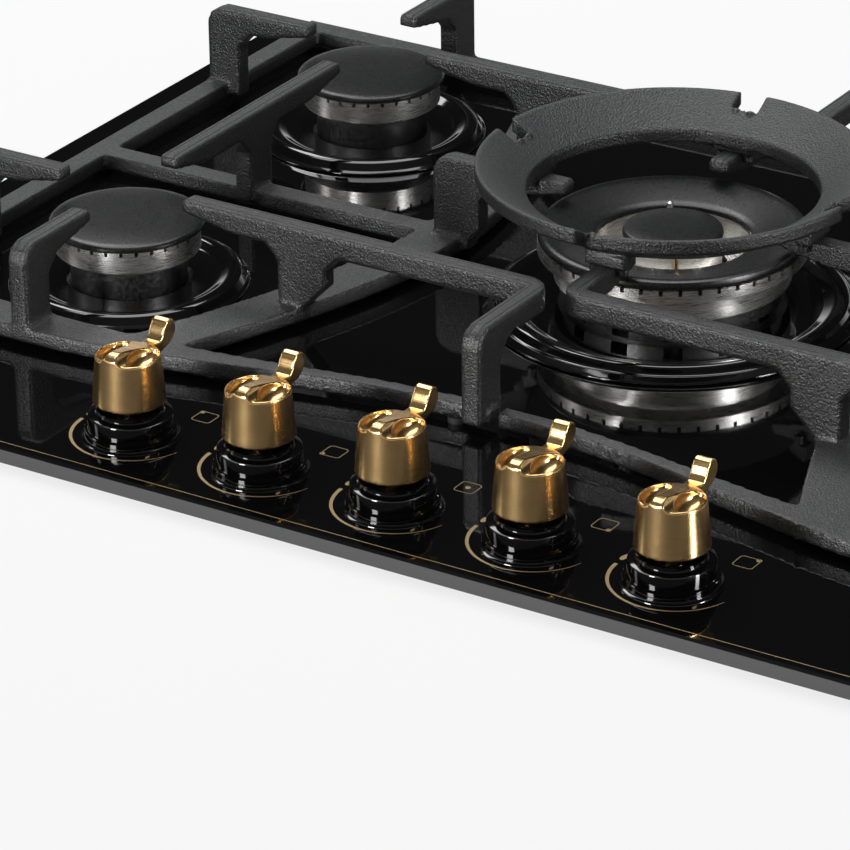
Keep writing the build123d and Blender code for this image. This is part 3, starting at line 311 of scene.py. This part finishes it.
def alone(piece):
    """Makes one object the only selected and the active one."""
    bpy.ops.object.select_all(action="DESELECT")
    piece.select_set(True)
    bpy.context.view_layer.objects.active = piece


def ring_pieces(x, y, radius, width, start, end, steps):
    """Short four-sided pieces of a band whose width runs from its first to its second value."""
    pieces = []
    for n in range(steps):
        quad = []
        for part, side in ((n, -1), (n, 1), (n + 1, 1), (n + 1, -1)):
            share = part / steps
            angle = math.radians(start + (end - start) * share)
            reach = radius + side * (width[0] + (width[1] - width[0]) * share) / 2
            quad.append((x + reach * math.cos(angle), y + reach * math.sin(angle)))
        pieces.append(quad)
    return pieces


def bar_piece(x0, y0, x1, y1, width):
    """A straight printed line."""
    run = Vector((x1 - x0, y1 - y0))
    off = Vector((-run.y, run.x)).normalized() * width / 2
    ends = [(x0, y0, -1), (x1, y1, -1), (x1, y1, 1), (x0, y0, 1)]
    return [(x + side * off.x, y + side * off.y) for x, y, side in ends]


def flame(x, y, size):
    """The outline of a small flame."""
    points = []
    for n in range(flame_steps):
        heading = 2 * math.pi * n / flame_steps
        lean = max(0.0, math.sin(heading)) ** 3
        across = size * flame_width * math.cos(heading) * (1 - flame_pinch * lean)
        points.append((x + across, y + size * (math.sin(heading) + flame_point * lean)))
    return points


knob_centres = []
for n in range(1, 6):
    low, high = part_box(f"spindle_{n}")
    reach_x = (low[0] + high[0]) / 2
    knob_centres.append((round(reach_x / mm / knob_pitch) * knob_pitch, (low[1] + high[1]) / 2 / mm))
for n, (x, y) in enumerate(knob_centres, start=1):
    arc_y = y + arc_back
    shapes = ring_pieces(x, arc_y, arc_radius, (arc_wide, arc_thin), arc_start, arc_end, arc_steps)
    shapes.append(flame(x - arc_radius, arc_y + full_flame_rise, full_flame_size))
    low_angle = math.radians(low_flame)
    low_reach = arc_radius - low_flame_inset
    low_x, low_y = x + low_reach * math.cos(low_angle), arc_y + low_reach * math.sin(low_angle)
    shapes.append(flame(low_x, low_y, low_flame_size))
    icon_x, icon_y = x + icon_place[0], y + icon_place[1]
    run = icon_half - icon_corner
    for quarter in range(4):
        heading = math.radians(90 * quarter)
        corner_x = icon_x + run * (math.cos(heading) - math.sin(heading))
        corner_y = icon_y + run * (math.sin(heading) + math.cos(heading))
        start, end = 90 * quarter, 90 * quarter + 90
        line = (icon_line, icon_line)
        shapes += ring_pieces(corner_x, corner_y, icon_corner, line, start, end, corner_steps)
        side_x, side_y = icon_half * math.cos(heading), icon_half * math.sin(heading)
        along_x, along_y = run * math.sin(heading), run * math.cos(heading)
        shapes.append(
            bar_piece(
                icon_x + side_x + along_x,
                icon_y + side_y - along_y,
                icon_x + side_x - along_x,
                icon_y + side_y + along_y,
                icon_line,
            )
        )
    dot_x = icon_x + dots[n - 1][0] * icon_half * dot_reach
    dot_y = icon_y + dots[n - 1][1] * icon_half * dot_reach
    spots = [math.radians(360 * k / dot_steps) for k in range(dot_steps)]
    shapes.append([(dot_x + dot_radius * math.cos(a), dot_y + dot_radius * math.sin(a)) for a in spots])
    if n == 3:
        line_y = glass_lo[1] / mm + edge_line[0]
        line_x = glass_hi[0] / mm - edge_line[0]
        shapes.append(bar_piece(-line_x, line_y, line_x, line_y, edge_line[1]))
    marks = leaf(f"printed_marks_{n}", shapes)
    marks.data.materials.append(gold_ink)
    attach(marks, "cooktop")


# Knob bezels: glossy black moulded collars, fixed on the glass. Each has two tiers over a thin flange, broken
# edges, and a low boss round the spindle below the knob.
round_steps, wide_steps = 112, 144
turned_weld = 0.000004
smooth_below = 30


def turn(name, profile, centre, base, steps=round_steps, bevel=0.0):
    """A piece turned from an outline of (radius, height) millimetres above the base, round the centre."""
    closed = profile[0][0] > 0 and profile[-1][0] > 0
    corners = [(centre[0] + radius * mm, centre[1], base + height * mm) for radius, height in profile]
    lines = [(n, n + 1) for n in range(len(corners) - 1)]
    if closed:
        lines.append((len(corners) - 1, 0))
    mesh = bpy.data.meshes.new(name)
    mesh.from_pydata(corners, lines, [])
    piece = bpy.data.objects.new(name, mesh)
    bpy.context.collection.objects.link(piece)
    alone(piece)
    bpy.ops.object.mode_set(mode="EDIT")
    bpy.ops.mesh.select_all(action="SELECT")
    bpy.ops.mesh.spin(steps=steps, angle=2 * math.pi, center=(centre[0], centre[1], base), axis=(0, 0, 1))
    bpy.ops.mesh.select_all(action="SELECT")
    bpy.ops.mesh.remove_doubles(threshold=turned_weld)
    bpy.ops.mesh.normals_make_consistent(inside=False)
    bpy.ops.object.mode_set(mode="OBJECT")
    if bevel:
        soften(piece, bevel, 24)
    alone(piece)
    bpy.ops.object.shade_smooth_by_angle(angle=math.radians(smooth_below))
    return piece


def soften(piece, width, corner):
    """Rounds every edge sharper than the given corner, in millimetres and degrees."""
    alone(piece)
    round_off = piece.modifiers.new("round_off", "BEVEL")
    round_off.width = width * mm
    round_off.segments = 2
    round_off.limit_method = "ANGLE"
    round_off.angle_limit = math.radians(corner)
    bpy.ops.object.modifier_apply(modifier="round_off")


def doubled(piece, name, shift):
    """A copy of a finished piece, moved in its own mesh."""
    twin = bpy.data.objects.new(name, piece.data.copy())
    bpy.context.collection.objects.link(twin)
    twin.data.transform(Matrix.Translation(shift))
    return twin


def fit(piece, made, body, node, slot):
    """Gives a finished piece its material and its body, and hides the CAD node that it stands for. The slot
    is not used.
    """
    piece.data.materials.clear()
    piece.data.materials.append(made)
    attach(piece, body)
    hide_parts(node)


bezel_outline = [
    (4, 0), (23.4, 0), (23.6, 0.2), (23.5, 0.5),
    (22.0, 0.7), (21.6, 1.0), (21.5, 4.5), (21.3, 4.8), (20.1, 4.9),
    (19.9, 5.2), (19.8, 11.5), (19.6, 12.0), (19.2, 12.2),
    (16.2, 12.5), (15.8, 12.8), (15.7, 14.7), (15.4, 14.9),
    (4, 14.9),
]
bezel_black = surface("bezel_black", (0.003, 0.003, 0.0035), 0.0, 0.09, IOR=1.45, Coat_Weight=0.3)
drive(bezel_black, "Roughness", spread(bezel_black, noise(bezel_black, 900), 0.06, 0.11))
relief(bezel_black, noise(bezel_black, 60, (1, 1, 40)), 0.00001, 0.15)
first_knob = knob_centres[0]
bezel_form = turn("bezel_form", bezel_outline, (first_knob[0] * mm, first_knob[1] * mm), glass_top)
for n, (x, y) in enumerate(knob_centres, start=1):
    bezel = doubled(bezel_form, f"knob_bezel_{n}", ((x - first_knob[0]) * mm, 0, 0))
    fit(bezel, bezel_black, "cooktop", "knob_bezels", "bezel_black")
bpy.data.objects.remove(bezel_form)


# Knobs: solid brass, turned as a slightly tapered drum with a lever on top. The lever's front is one with the
# drum, a hollow bowl lies on each side of it, and its back end turns up.
scoop_offset = 8.5
scoop_half = (5.4, 10.4, 5.2)
rim_height = 41.2
casting_weld = 0.00002


def recast(piece, voxel, rounds):
    """Fuses a piece into one skin of even faces and smooths its edges as a casting's are."""
    alone(piece)
    skin = piece.modifiers.new("skin", "REMESH")
    skin.mode = "VOXEL"
    skin.voxel_size = voxel * mm
    skin.use_smooth_shade = True
    bpy.ops.object.modifier_apply(modifier="skin")
    calm = piece.modifiers.new("calm", "SMOOTH")
    calm.factor = 0.5
    calm.iterations = rounds
    bpy.ops.object.modifier_apply(modifier="calm")
    bpy.ops.object.shade_smooth()


def recast_copy(name, node, voxel, rounds):
    """A piece with rounded edges, made from the solid of its CAD node."""
    casting = bpy.data.objects.new(name, nodes[node].data.copy())
    bpy.context.collection.objects.link(casting)
    alone(casting)
    bpy.ops.object.mode_set(mode="EDIT")
    bpy.ops.mesh.select_all(action="SELECT")
    bpy.ops.mesh.remove_doubles(threshold=casting_weld)
    bpy.ops.object.mode_set(mode="OBJECT")
    recast(casting, voxel, rounds)
    return casting


brass = surface("knob_brass", (0.80, 0.56, 0.27), 1.0, 0.22)
tones(brass, noise(brass, 500, (0.15, 0.15, 9)), (0.80, 0.50, 0.20), (0.90, 0.62, 0.29))
drive(brass, "Roughness", spread(brass, noise(brass, 700, (0.1, 0.1, 7)), 0.2, 0.27))
relief(brass, noise(brass, 1400, (0.12, 0.12, 5)), 0.00001, 0.6)
knob_form = recast_copy("knob_form", "knob_1", 0.4, 3)
for side in (-1, 1):
    scoop_x = (first_knob[0] + side * scoop_offset) * mm
    scoop_place = (scoop_x, first_knob[1] * mm, glass_top + rim_height * mm)
    bpy.ops.mesh.primitive_uv_sphere_add(segments=64, ring_count=32, radius=mm, location=scoop_place)
    bowl = bpy.context.object
    bowl.scale = scoop_half
    scoop = knob_form.modifiers.new("scoop", "BOOLEAN")
    scoop.operation = "DIFFERENCE"
    scoop.object = bowl
    alone(knob_form)
    bpy.ops.object.modifier_apply(modifier="scoop")
    bpy.data.objects.remove(bowl)
recast(knob_form, 0.35, 5)
for n, (x, y) in enumerate(knob_centres, start=1):
    knob = doubled(knob_form, f"knob_lever_{n}", ((x - first_knob[0]) * mm, 0, 0))
    fit(knob, brass, f"knob_{n}", f"knob_{n}", "knob_brass")
bpy.data.objects.remove(knob_form)


# Grates and wok ring: grey iron castings under matt black enamel, with a fine sandy grain. Two shallow
# grooves run along the top of every finger, and all edges are rounded by the mould and the enamel.
def maths(made, operation, first, second):
    """One arithmetic node; each input is a field or a number."""
    node = made.node_tree.nodes.new("ShaderNodeMath")
    node.operation = operation
    for slot, value in enumerate((first, second)):
        if isinstance(value, (int, float)):
            node.inputs[slot].default_value = value
        else:
            made.node_tree.links.new(value, node.inputs[slot])
    return node.outputs[0]


def centre_of(node):
    """The centre of a node in plan."""
    low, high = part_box(node)
    return (low[0] + high[0]) / 2, (low[1] + high[1]) / 2


wok_x, wok_y = centre_of("wok_inner_cap")
front_y = centre_of("front_left_burner_cap")[1]
back_y = centre_of("back_left_burner_cap")[1]
right_x = centre_of("front_right_burner_cap")[0]
elbow_x = 0.008
groove_offset = 0.0023
groove_half = 0.0007
groove_depth = 0.0006
groove_floor = 0.3
arm_end = 0.15
land_start, land_full = 0.004, 0.002
ring_gap = 0.0005
iron = surface("cast_iron", (0.022, 0.023, 0.024), 0.0, 0.45, IOR=1.55)
grain = maths(iron, "MULTIPLY", noise(iron, 1100, detail=3.0), 0.75)
# The iron's colour is random grain plus painted light: faces that look up are painted lighter than the sides,
# as if lit from above.
grain_and_painted_top_light = maths(iron, "ADD", grain, maths(iron, "MULTIPLY", upward(iron, 0.5, 0.9), 0.22))
tones(iron, grain_and_painted_top_light, (0.008, 0.0085, 0.009), (0.075, 0.077, 0.078))
drive(iron, "Roughness", spread(iron, noise(iron, 900), 0.3, 0.5))
relief(iron, noise(iron, 950, detail=3.0), 0.0006, 0.9)
spot = iron.node_tree.nodes.new("ShaderNodeTexCoord")
axes = iron.node_tree.nodes.new("ShaderNodeSeparateXYZ")
iron.node_tree.links.new(spot.outputs["Object"], axes.inputs[0])
nearest = 1.0
finger_lines = [("Y", front_y), ("Y", back_y)]
finger_lines += [("X", line) for line in (right_x, -right_x, elbow_x, -elbow_x)]
for axis, line in finger_lines:
    away = maths(iron, "ABSOLUTE", maths(iron, "SUBTRACT", axes.outputs[axis], line), 0.0)
    nearest = maths(iron, "MINIMUM", away, nearest)
away = maths(iron, "ABSOLUTE", maths(iron, "SUBTRACT", axes.outputs["Y"], wok_y), 0.0)
outside = maths(iron, "GREATER_THAN", maths(iron, "ABSOLUTE", axes.outputs["X"], 0.0), arm_end)
nearest = maths(iron, "MINIMUM", nearest, maths(iron, "ADD", away, outside))
off_groove = maths(iron, "ABSOLUTE", maths(iron, "SUBTRACT", nearest, groove_offset), 0.0)
groove = spread(iron, off_groove, 0.0, 1.0, groove_half * groove_floor, groove_half)
top_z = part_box("left_grate")[1][2]
on_top = spread(iron, axes.outputs["Z"], 0.0, 1.0, top_z - land_start, top_z - land_full)
below_ring = maths(iron, "LESS_THAN", axes.outputs["Z"], top_z + ring_gap)
level = maths(iron, "MULTIPLY", maths(iron, "MULTIPLY", on_top, below_ring), upward(iron, 0.4, 0.8))
cut = maths(iron, "MULTIPLY", maths(iron, "SUBTRACT", 1.0, groove), level)
relief(iron, maths(iron, "SUBTRACT", 1.0, cut), groove_depth)
for side in ("left", "right"):
    grate = recast_copy(f"{side}_grate_casting", f"{side}_grate", 1.3, 3)
    fit(grate, iron, f"{side}_grate", f"{side}_grate", "cast_iron")
fit(recast_copy("wok_ring_casting", "wok_ring", 0.8, 3), iron, "wok_ring", "wok_ring", "cast_iron")

# Grate feet: black rubber studs under the frames of the grates. They keep the castings off the glass and stop
# them sliding.
rubber = surface("foot_rubber", (0.012, 0.012, 0.012), 0.0, 0.7)
relief(rubber, noise(rubber, 900), 0.0001, 0.3)
for side in ("left", "right"):
    dress(f"{side}_grate_feet", rubber)


# Spill dishes: pressed steel under gloss black enamel, one round each side burner. The outer edge lies on the
# glass, and a raised rim keeps a spill near the burner.
dish_overlap, dish_rim = 5.0, 9.0
dish_bevel = 0.3
enamel = surface("dish_enamel", (0.004, 0.004, 0.0045), 0.0, 0.07, Coat_Weight=0.5, Coat_Roughness=0.04)
drive(enamel, "Roughness", spread(enamel, noise(enamel, 300), 0.05, 0.11))
relief(enamel, noise(enamel, 150, detail=2.0), 0.0002, 0.06)
side_burners = ("front_left", "back_left", "front_right", "back_right")
for name in side_burners:
    low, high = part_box(f"{name}_spill_dish")
    centre = ((low[0] + high[0]) / 2, (low[1] + high[1]) / 2)
    outer = (high[0] - low[0]) / 2 / mm
    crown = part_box(f"{name}_burner_crown")
    neck = (crown[1][0] - crown[0][0]) / 2 / mm - dish_overlap
    crest = outer - dish_rim
    dish_outline = [
        (neck, 2.2), (crest - 4, 2.2), (crest, 4.8), (crest + 3, 4.4), (outer - 3, 0.1), (outer - 0.4, 0.1),
        (outer, 0.5), (outer - 0.3, 1.2), (outer - 2.0, 2.1),
        (crest + 4.6, 5.3), (crest + 2.6, 6.2), (crest, 6.4),
        (crest - 2.2, 5.9), (crest - 5.4, 3.7), (crest - 8, 3.2), (neck, 3.2),
    ]
    dish = turn(f"{name}_dish", dish_outline, centre, glass_top, bevel=dish_bevel)
    fit(dish, enamel, "cooktop", f"{name}_spill_dish", "dish_enamel")

# Side burners: cast cups, turned crowns with their flame slots, and loose steel caps under matt enamel. The
# cups stand on the rails below the glass, and a crown and its cap lift off by hand.
cap_overhang, cap_rise = 11.0, 4.6
cup_metal = surface("cup_metal", (0.10, 0.10, 0.10), 1.0, 0.42)
drive(cup_metal, "Roughness", spread(cup_metal, noise(cup_metal, 600), 0.3, 0.45))
relief(cup_metal, noise(cup_metal, 1600), 0.0001, 0.35)
crown_metal = surface("crown_metal", (0.90, 0.88, 0.84), 1.0, 0.3)
tones(crown_metal, noise(crown_metal, 400, (0.2, 0.2, 8)), (0.84, 0.82, 0.78), (0.95, 0.94, 0.91))
drive(crown_metal, "Roughness", spread(crown_metal, noise(crown_metal, 800, (0.15, 0.15, 6)), 0.24, 0.34))
relief(crown_metal, noise(crown_metal, 900, (0.15, 0.15, 5)), 0.00001, 0.15)
cap_enamel = surface("cap_enamel", (0.012, 0.0125, 0.0125), 0.0, 0.36, IOR=1.5)
tones(cap_enamel, noise(cap_enamel, 700), (0.010, 0.0105, 0.0105), (0.018, 0.019, 0.019))
drive(cap_enamel, "Roughness", spread(cap_enamel, noise(cap_enamel, 900), 0.26, 0.36))
relief(cap_enamel, noise(cap_enamel, 1700), 0.00006, 0.4)
for name in side_burners:
    dress(f"{name}_burner_cup", cup_metal)
    dress(f"{name}_burner_crown", crown_metal)
    low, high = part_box(f"{name}_burner_cap")
    centre = ((low[0] + high[0]) / 2, (low[1] + high[1]) / 2)
    rim = (high[0] - low[0]) / 2 / mm
    foot = rim - cap_overhang
    cap_outline = [
        (0, 0.1), (foot - 3, 0.1), (foot - 3, -2.9), (foot, -2.9), (foot, 0.1),
        (rim - 1.0, 0.1), (rim - 0.1, 0.9), (rim, 1.5), (rim - 0.1, 2.3), (rim - 0.7, 3.0),
        (rim - 1.8, 3.5), (rim - 4.5, 3.9), (rim / 2, 4.35), (0, cap_rise),
    ]
    cap = turn(f"{name}_cap", cap_outline, centre, high[2] - cap_rise * mm)
    fit(cap, cap_enamel, "cooktop", f"{name}_burner_cap", "cap_enamel")

# Wok burner: a cast cup with air windows, a turned outer crown, a dished ring cap, and the small inner
# crown and cap. Its spill dish has a double rim.
wok_centre = (wok_x, wok_y)
wok_dish_outline = [
    (56, 2.2), (74, 2.2), (79, 5.4), (84.6, 5.0), (90, 0.1), (92.4, 0.1), (93, 0.6), (92.7, 1.4), (91.2, 2.2),
    (89.6, 3.4), (88.6, 3.5), (87.6, 4.0), (86.2, 6.2), (84.8, 6.9), (83, 7.0), (80.2, 6.8), (78.4, 6.2),
    (73.5, 3.3), (56, 3.2),
]
wok_dish = turn("wok_dish", wok_dish_outline, wok_centre, glass_top, steps=wide_steps, bevel=dish_bevel)
fit(wok_dish, enamel, "cooktop", "wok_burner_spill_dish", "dish_enamel")
ring_cap_outline = [
    (38.4, 34.1), (41.6, 34.1), (61, 37.1), (65.0, 37.1),
    (65.6, 37.7), (65.7, 38.6), (65.6, 40.0), (65.1, 41.0),
    (64.0, 41.5), (62.4, 41.6), (60.0, 41.2), (52.0, 39.6),
    (42.6, 37.7), (39.6, 36.9), (38.5, 36.1), (38.3, 35.0),
]
ring_cap = turn("wok_ring_cap", ring_cap_outline, wok_centre, glass_top, steps=wide_steps)
inner_cap_outline = [
    (0, 38.1), (16.6, 38.1), (16.6, 35.5), (19.5, 35.5),
    (19.5, 38.1), (23.8, 38.1), (24.5, 38.7), (24.6, 39.6),
    (24.4, 40.6), (23.8, 41.4), (22.6, 41.8), (12.0, 42.2), (0, 42.4),
]
inner_cap = turn("wok_small_cap", inner_cap_outline, wok_centre, glass_top)
fit(ring_cap, cap_enamel, "cooktop", "wok_outer_cap", "cap_enamel")
fit(inner_cap, cap_enamel, "cooktop", "wok_inner_cap", "cap_enamel")
for node in ("wok_outer_crown", "wok_inner_crown"):
    dress(node, crown_metal)
dress("wok_burner_cup", cup_metal)

# Ignition and flame sensing: glazed ceramic electrodes with a brass tip, steel sensor pins, steel screws, and
# the brass injectors and gas inlet fitting.
tip_start = 0.019
tip_blend = 0.0002
ceramic = surface("electrode_ceramic", (0.80, 0.78, 0.72), 0.0, 0.22)
tip_low, tip_high = glass_top + tip_start - tip_blend, glass_top + tip_start + tip_blend
height = ceramic.node_tree.nodes.new("ShaderNodeTexCoord")
split = ceramic.node_tree.nodes.new("ShaderNodeSeparateXYZ")
ceramic.node_tree.links.new(height.outputs["Object"], split.inputs[0])
tip = spread(ceramic, split.outputs["Z"], 0.0, 1.0, tip_low, tip_high)
tones(ceramic, tip, (0.80, 0.78, 0.72), (0.80, 0.56, 0.30))
drive(ceramic, "Metallic", tip)
drive(ceramic, "Roughness", spread(ceramic, noise(ceramic, 1200), 0.18, 0.3))
relief(ceramic, noise(ceramic, 900), 0.00005, 0.3)
dress("spark_electrodes", ceramic)
satin_steel = surface("satin_steel", (0.56, 0.55, 0.53), 1.0, 0.32)
drive(satin_steel, "Roughness", spread(satin_steel, noise(satin_steel, 900, (1, 1, 0.1)), 0.24, 0.42))
relief(satin_steel, noise(satin_steel, 1800, (1, 1, 0.1)), 0.00002, 0.3)
dress("flame_sensors", satin_steel)
dress("rail_screws", satin_steel)
machined_brass = surface("machined_brass", (0.72, 0.56, 0.30), 1.0, 0.28)
drive(machined_brass, "Roughness", spread(machined_brass, noise(machined_brass, 700, (1, 6, 6)), 0.2, 0.38))
relief(machined_brass, noise(machined_brass, 1200, (1, 8, 8)), 0.00003, 0.3)
dress("injectors", machined_brass)
dress("gas_inlet_fitting", machined_brass)

# Valves and gas pipes: die-cast valve bodies on an aluminium gas rail, brass plugs, steel spindles and
# drawn aluminium tubes to the burners.
die_cast = surface("die_cast", (0.52, 0.52, 0.52), 1.0, 0.45)
drive(die_cast, "Roughness", spread(die_cast, noise(die_cast, 500), 0.36, 0.58))
relief(die_cast, noise(die_cast, 1500), 0.0001, 0.35)
dress("valve_bodies", die_cast)
drawn_tube = surface("drawn_tube", (0.66, 0.67, 0.68), 1.0, 0.26)
drive(drawn_tube, "Roughness", spread(drawn_tube, noise(drawn_tube, 400), 0.2, 0.36))
relief(drawn_tube, noise(drawn_tube, 1200), 0.00003, 0.25)
dress("gas_tubes", drawn_tube)
dress("gas_manifold", drawn_tube)
for n in range(1, 6):
    dress(f"valve_plug_{n}", machined_brass)
    dress(f"spindle_{n}", satin_steel)

# Case and rails: folded galvanised sheet with its spangle. The case hangs below the glass, and the rails that
# carry the burner cups are screwed down inside it.
spangle_scale = 140
zinc = surface("galvanised_sheet", (0.50, 0.51, 0.52), 1.0, 0.38)
spangle = zinc.node_tree.nodes.new("ShaderNodeTexVoronoi")
spangle.inputs["Scale"].default_value = spangle_scale
where = zinc.node_tree.nodes.new("ShaderNodeTexCoord")
zinc.node_tree.links.new(where.outputs["Object"], spangle.inputs["Vector"])
tones(zinc, spangle.outputs["Color"], (0.40, 0.41, 0.42), (0.58, 0.59, 0.60))
drive(zinc, "Roughness", spread(zinc, noise(zinc, 260), 0.3, 0.48))
relief(zinc, noise(zinc, 700), 0.00004, 0.3)
for node in ("bottom_case", "left_burner_rail", "centre_burner_rail", "right_burner_rail"):
    dress(node, zinc)

# Worktop seal, ignition module, terminal block and cable gland: a black foam strip under the edge of the
# glass, and pale and black plastic mouldings fixed to the case.
foam = surface("seal_foam", (0.03, 0.03, 0.03), 0.0, 0.85)
relief(foam, noise(foam, 1600), 0.0004, 0.5)
dress("worktop_seal", foam)
moulding = surface("pale_moulding", (0.62, 0.61, 0.57), 0.0, 0.5)
drive(moulding, "Roughness", spread(moulding, noise(moulding, 500), 0.42, 0.58))
relief(moulding, noise(moulding, 2000), 0.00005, 0.3)
dress("ignition_module", moulding)
dress("terminal_block", moulding)
gland = surface("gland_moulding", (0.02, 0.02, 0.021), 0.0, 0.45)
drive(gland, "Roughness", spread(gland, noise(gland, 600), 0.38, 0.52))
relief(gland, noise(gland, 1800), 0.00006, 0.3)
dress("cable_gland", gland)
